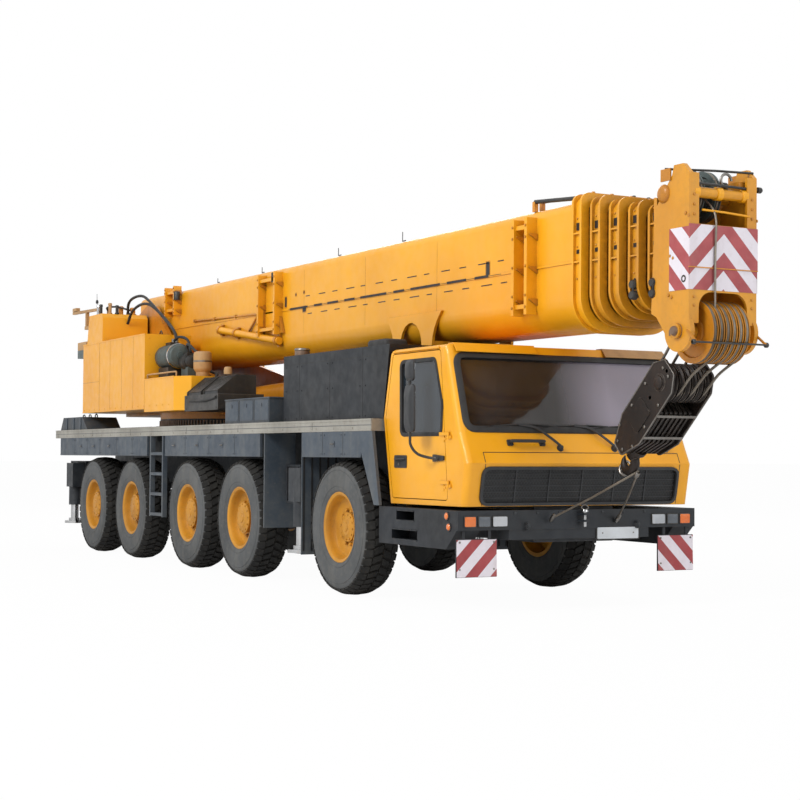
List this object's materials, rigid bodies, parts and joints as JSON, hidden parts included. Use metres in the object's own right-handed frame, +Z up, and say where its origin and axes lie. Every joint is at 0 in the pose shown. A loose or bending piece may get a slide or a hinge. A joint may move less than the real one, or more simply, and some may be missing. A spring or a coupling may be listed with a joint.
{
  "type": "mobile crane",
  "caption": "All-terrain mobile crane with a telescopic boom lowered over a low driver's cab, a slewing superstructure, steered axles and outriggers.",
  "frame": {"origin": "on the ground in the middle of the whole length and width", "axes": "+X forwards, towards the driver's cab; +Y to the vehicle's left; +Z up"},
  "size_m": [14.325, 3, 3.7916],
  "materials": {
    "yellow_paint": "gloss",
    "carrier_paint": "satin",
    "deck_paint": "worn",
    "tyre_rubber": "matte",
    "window_glass": "clear",
    "dark_steel": "satin",
    "cylinder_steel": "polished",
    "black_plastic": "matte",
    "lamp_lens": "gloss",
    "seat_cloth": "matte"
  },
  "bodies": {
    "carrier": {"axle_beams": "carrier_paint", "chassis_frame": "carrier_paint", "deck": "deck_paint", "side_skirts": "carrier_paint", "engine_housing": "carrier_paint", "cab_shell": "yellow_paint", "cab_glass": "window_glass", "front_bumper": "carrier_paint", "lamps": "lamp_lens", "seats": "seat_cloth", "dashboard": "black_plastic"},
    "knuckle_1_right": {"knuckle_1_right": "carrier_paint"},
    "wheel_1_right": {"wheel_1_right": "tyre_rubber"},
    "knuckle_1_left": {"knuckle_1_left": "carrier_paint"},
    "wheel_1_left": {"wheel_1_left": "tyre_rubber"},
    "knuckle_2_right": {"knuckle_2_right": "carrier_paint"},
    "wheel_2_right": {"wheel_2_right": "tyre_rubber"},
    "knuckle_2_left": {"knuckle_2_left": "carrier_paint"},
    "wheel_2_left": {"wheel_2_left": "tyre_rubber"},
    "wheel_3_right": {"wheel_3_right": "tyre_rubber"},
    "wheel_3_left": {"wheel_3_left": "tyre_rubber"},
    "knuckle_4_right": {"knuckle_4_right": "carrier_paint"},
    "wheel_4_right": {"wheel_4_right": "tyre_rubber"},
    "knuckle_4_left": {"knuckle_4_left": "carrier_paint"},
    "wheel_4_left": {"wheel_4_left": "tyre_rubber"},
    "knuckle_5_right": {"knuckle_5_right": "carrier_paint"},
    "wheel_5_right": {"wheel_5_right": "tyre_rubber"},
    "knuckle_5_left": {"knuckle_5_left": "carrier_paint"},
    "wheel_5_left": {"wheel_5_left": "tyre_rubber"},
    "door_right": {"door_right": "yellow_paint", "door_pane_right": "window_glass", "mirror_right": "black_plastic"},
    "door_left": {"door_left": "yellow_paint", "door_pane_left": "window_glass", "mirror_left": "black_plastic"},
    "outrigger_beam_front_right": {"outrigger_beam_front_right": "carrier_paint"},
    "outrigger_jack_front_right": {"outrigger_jack_front_right": "cylinder_steel"},
    "outrigger_beam_front_left": {"outrigger_beam_front_left": "carrier_paint"},
    "outrigger_jack_front_left": {"outrigger_jack_front_left": "cylinder_steel"},
    "outrigger_beam_rear_right": {"outrigger_beam_rear_right": "carrier_paint"},
    "outrigger_jack_rear_right": {"outrigger_jack_rear_right": "cylinder_steel"},
    "outrigger_beam_rear_left": {"outrigger_beam_rear_left": "carrier_paint"},
    "outrigger_jack_rear_left": {"outrigger_jack_rear_left": "cylinder_steel"},
    "superstructure": {"superstructure_frame": "yellow_paint", "machinery_house": "yellow_paint", "counterweight": "yellow_paint", "winch": "dark_steel", "hydraulics": "dark_steel", "operator_cab": "yellow_paint", "operator_cab_glass": "window_glass"},
    "operator_cab_door": {"operator_cab_door": "yellow_paint"},
    "boom": {"boom_base": "yellow_paint"},
    "luffing_barrel": {"luffing_barrel": "yellow_paint"},
    "luffing_rod": {"luffing_rod": "cylinder_steel"},
    "boom_section_1": {"boom_section_1": "yellow_paint"},
    "boom_section_2": {"boom_section_2": "yellow_paint"},
    "boom_section_3": {"boom_section_3": "yellow_paint"},
    "boom_tip": {"boom_tip": "yellow_paint", "head_sheaves": "dark_steel"},
    "hook_block": {"hook_block": "dark_steel"}
  },
  "joints": [
    {"name": "steer_1_right", "type": "hinge", "parent": "carrier", "child": "knuckle_1_right", "pos_m": [2.735, -1.08, 0.683], "axis": [0, 0, 1], "range_deg": [-35, 35]},
    {"name": "wheel_spin_1_right", "type": "hinge", "parent": "knuckle_1_right", "child": "wheel_1_right", "pos_m": [2.735, -1.1825, 0.683], "axis": [0, 1, 0], "continuous": true},
    {"name": "steer_1_left", "type": "hinge", "parent": "carrier", "child": "knuckle_1_left", "pos_m": [2.735, 1.08, 0.683], "axis": [0, 0, 1], "range_deg": [-35, 35]},
    {"name": "wheel_spin_1_left", "type": "hinge", "parent": "knuckle_1_left", "child": "wheel_1_left", "pos_m": [2.735, 1.1825, 0.683], "axis": [0, 1, 0], "continuous": true},
    {"name": "steer_2_right", "type": "hinge", "parent": "carrier", "child": "knuckle_2_right", "pos_m": [0.135, -1.08, 0.683], "axis": [0, 0, 1], "range_deg": [-25.4, 25.4]},
    {"name": "wheel_spin_2_right", "type": "hinge", "parent": "knuckle_2_right", "child": "wheel_2_right", "pos_m": [0.135, -1.1825, 0.683], "axis": [0, 1, 0], "continuous": true},
    {"name": "steer_2_left", "type": "hinge", "parent": "carrier", "child": "knuckle_2_left", "pos_m": [0.135, 1.08, 0.683], "axis": [0, 0, 1], "range_deg": [-25.4, 25.4]},
    {"name": "wheel_spin_2_left", "type": "hinge", "parent": "knuckle_2_left", "child": "wheel_2_left", "pos_m": [0.135, 1.1825, 0.683], "axis": [0, 1, 0], "continuous": true},
    {"name": "wheel_spin_3_right", "type": "hinge", "parent": "carrier", "child": "wheel_3_right", "pos_m": [-1.525, -1.1825, 0.683], "axis": [0, 1, 0], "continuous": true},
    {"name": "wheel_spin_3_left", "type": "hinge", "parent": "carrier", "child": "wheel_3_left", "pos_m": [-1.525, 1.1825, 0.683], "axis": [0, 1, 0], "continuous": true},
    {"name": "steer_4_right", "type": "hinge", "parent": "carrier", "child": "knuckle_4_right", "pos_m": [-3.645, -1.08, 0.683], "axis": [0, 0, 1], "range_deg": [-12.45, 12.45]},
    {"name": "wheel_spin_4_right", "type": "hinge", "parent": "knuckle_4_right", "child": "wheel_4_right", "pos_m": [-3.645, -1.1825, 0.683], "axis": [0, 1, 0], "continuous": true},
    {"name": "steer_4_left", "type": "hinge", "parent": "carrier", "child": "knuckle_4_left", "pos_m": [-3.645, 1.08, 0.683], "axis": [0, 0, 1], "range_deg": [-12.45, 12.45]},
    {"name": "wheel_spin_4_left", "type": "hinge", "parent": "knuckle_4_left", "child": "wheel_4_left", "pos_m": [-3.645, 1.1825, 0.683], "axis": [0, 1, 0], "continuous": true},
    {"name": "steer_5_right", "type": "hinge", "parent": "carrier", "child": "knuckle_5_right", "pos_m": [-5.305, -1.08, 0.683], "axis": [0, 0, 1], "range_deg": [-24.7, 24.7]},
    {"name": "wheel_spin_5_right", "type": "hinge", "parent": "knuckle_5_right", "child": "wheel_5_right", "pos_m": [-5.305, -1.1825, 0.683], "axis": [0, 1, 0], "continuous": true},
    {"name": "steer_5_left", "type": "hinge", "parent": "carrier", "child": "knuckle_5_left", "pos_m": [-5.305, 1.08, 0.683], "axis": [0, 0, 1], "range_deg": [-24.7, 24.7]},
    {"name": "wheel_spin_5_left", "type": "hinge", "parent": "knuckle_5_left", "child": "wheel_5_left", "pos_m": [-5.305, 1.1825, 0.683], "axis": [0, 1, 0], "continuous": true},
    {"name": "door_right_swing", "type": "hinge", "parent": "carrier", "child": "door_right", "pos_m": [4.771, -1.264, 1.6], "axis": [0, 0, 1], "range_deg": [0, 75]},
    {"name": "door_left_swing", "type": "hinge", "parent": "carrier", "child": "door_left", "pos_m": [4.771, 1.264, 1.6], "axis": [0, 0, -1], "range_deg": [0, 75]},
    {"name": "outrigger_beam_front_right_slide", "type": "slide", "parent": "carrier", "child": "outrigger_beam_front_right", "axis": [0, -1, 0], "range_m": [0, 1.9]},
    {"name": "outrigger_jack_front_right_slide", "type": "slide", "parent": "outrigger_beam_front_right", "child": "outrigger_jack_front_right", "axis": [0, 0, -1], "range_m": [0, 0.6]},
    {"name": "outrigger_beam_front_left_slide", "type": "slide", "parent": "carrier", "child": "outrigger_beam_front_left", "axis": [0, 1, 0], "range_m": [0, 1.9]},
    {"name": "outrigger_jack_front_left_slide", "type": "slide", "parent": "outrigger_beam_front_left", "child": "outrigger_jack_front_left", "axis": [0, 0, -1], "range_m": [0, 0.6]},
    {"name": "outrigger_beam_rear_right_slide", "type": "slide", "parent": "carrier", "child": "outrigger_beam_rear_right", "axis": [0, -1, 0], "range_m": [0, 1.9]},
    {"name": "outrigger_jack_rear_right_slide", "type": "slide", "parent": "outrigger_beam_rear_right", "child": "outrigger_jack_rear_right", "axis": [0, 0, -1], "range_m": [0, 0.6]},
    {"name": "outrigger_beam_rear_left_slide", "type": "slide", "parent": "carrier", "child": "outrigger_beam_rear_left", "axis": [0, 1, 0], "range_m": [0, 1.9]},
    {"name": "outrigger_jack_rear_left_slide", "type": "slide", "parent": "outrigger_beam_rear_left", "child": "outrigger_jack_rear_left", "axis": [0, 0, -1], "range_m": [0, 0.6]},
    {"name": "slew", "type": "hinge", "parent": "carrier", "child": "superstructure", "pos_m": [-3.265, 0, 1.9], "axis": [0, 0, 1], "continuous": true},
    {"name": "operator_door_slide", "type": "slide", "parent": "superstructure", "child": "operator_cab_door", "axis": [-1, 0, 0], "range_m": [0, 0.58]},
    {"name": "luff", "type": "hinge", "parent": "superstructure", "child": "boom", "pos_m": [-5.565, 0, 3.25], "axis": [0, -1, 0], "range_deg": [0, 82]},
    {"name": "luffing_barrel_turn", "type": "hinge", "parent": "superstructure", "child": "luffing_barrel", "pos_m": [-3.365, 0, 2.13], "axis": [0, -1, 0], "range_deg": [0, 91.39]},
    {"name": "luffing_rod_slide", "type": "slide", "parent": "luffing_barrel", "child": "luffing_rod", "axis": [0.9997, 0, 0.0246], "range_m": [0, 3.1325]},
    {"name": "telescope_1", "type": "slide", "parent": "boom", "child": "boom_section_1", "axis": [1, 0, -0.0079], "range_m": [0, 9]},
    {"name": "telescope_2", "type": "slide", "parent": "boom_section_1", "child": "boom_section_2", "axis": [1, 0, -0.0079], "range_m": [0, 9.01]},
    {"name": "telescope_3", "type": "slide", "parent": "boom_section_2", "child": "boom_section_3", "axis": [1, 0, -0.0079], "range_m": [0, 9.01]},
    {"name": "telescope_4", "type": "slide", "parent": "boom_section_3", "child": "boom_tip", "axis": [1, 0, -0.0079], "range_m": [0, 9.01]},
    {"name": "hook_block_swing", "type": "hinge", "parent": "boom_tip", "child": "hook_block", "pos_m": [6.9, 0, 2.43], "axis": [0, 1, 0], "range_deg": [-46.5, 30]}
  ],
  "couplings": [
    {"joint": "steer_1_right", "follows": "steer_1_left", "ratio": 1},
    {"joint": "steer_2_right", "follows": "steer_1_left", "ratio": 0.72},
    {"joint": "steer_2_left", "follows": "steer_1_left", "ratio": 0.72},
    {"joint": "steer_4_right", "follows": "steer_1_left", "ratio": -0.35},
    {"joint": "steer_4_left", "follows": "steer_1_left", "ratio": -0.35},
    {"joint": "steer_5_right", "follows": "steer_1_left", "ratio": -0.7},
    {"joint": "steer_5_left", "follows": "steer_1_left", "ratio": -0.7},
    {"joint": "luffing_barrel_turn", "follows": "luff", "ratio": 1.1109},
    {"joint": "luffing_rod_slide", "follows": "luff", "m_per_rad": 2.1818},
    {"joint": "telescope_2", "follows": "telescope_1", "ratio": 1},
    {"joint": "telescope_3", "follows": "telescope_1", "ratio": 1},
    {"joint": "telescope_4", "follows": "telescope_1", "ratio": 1}
  ]
}
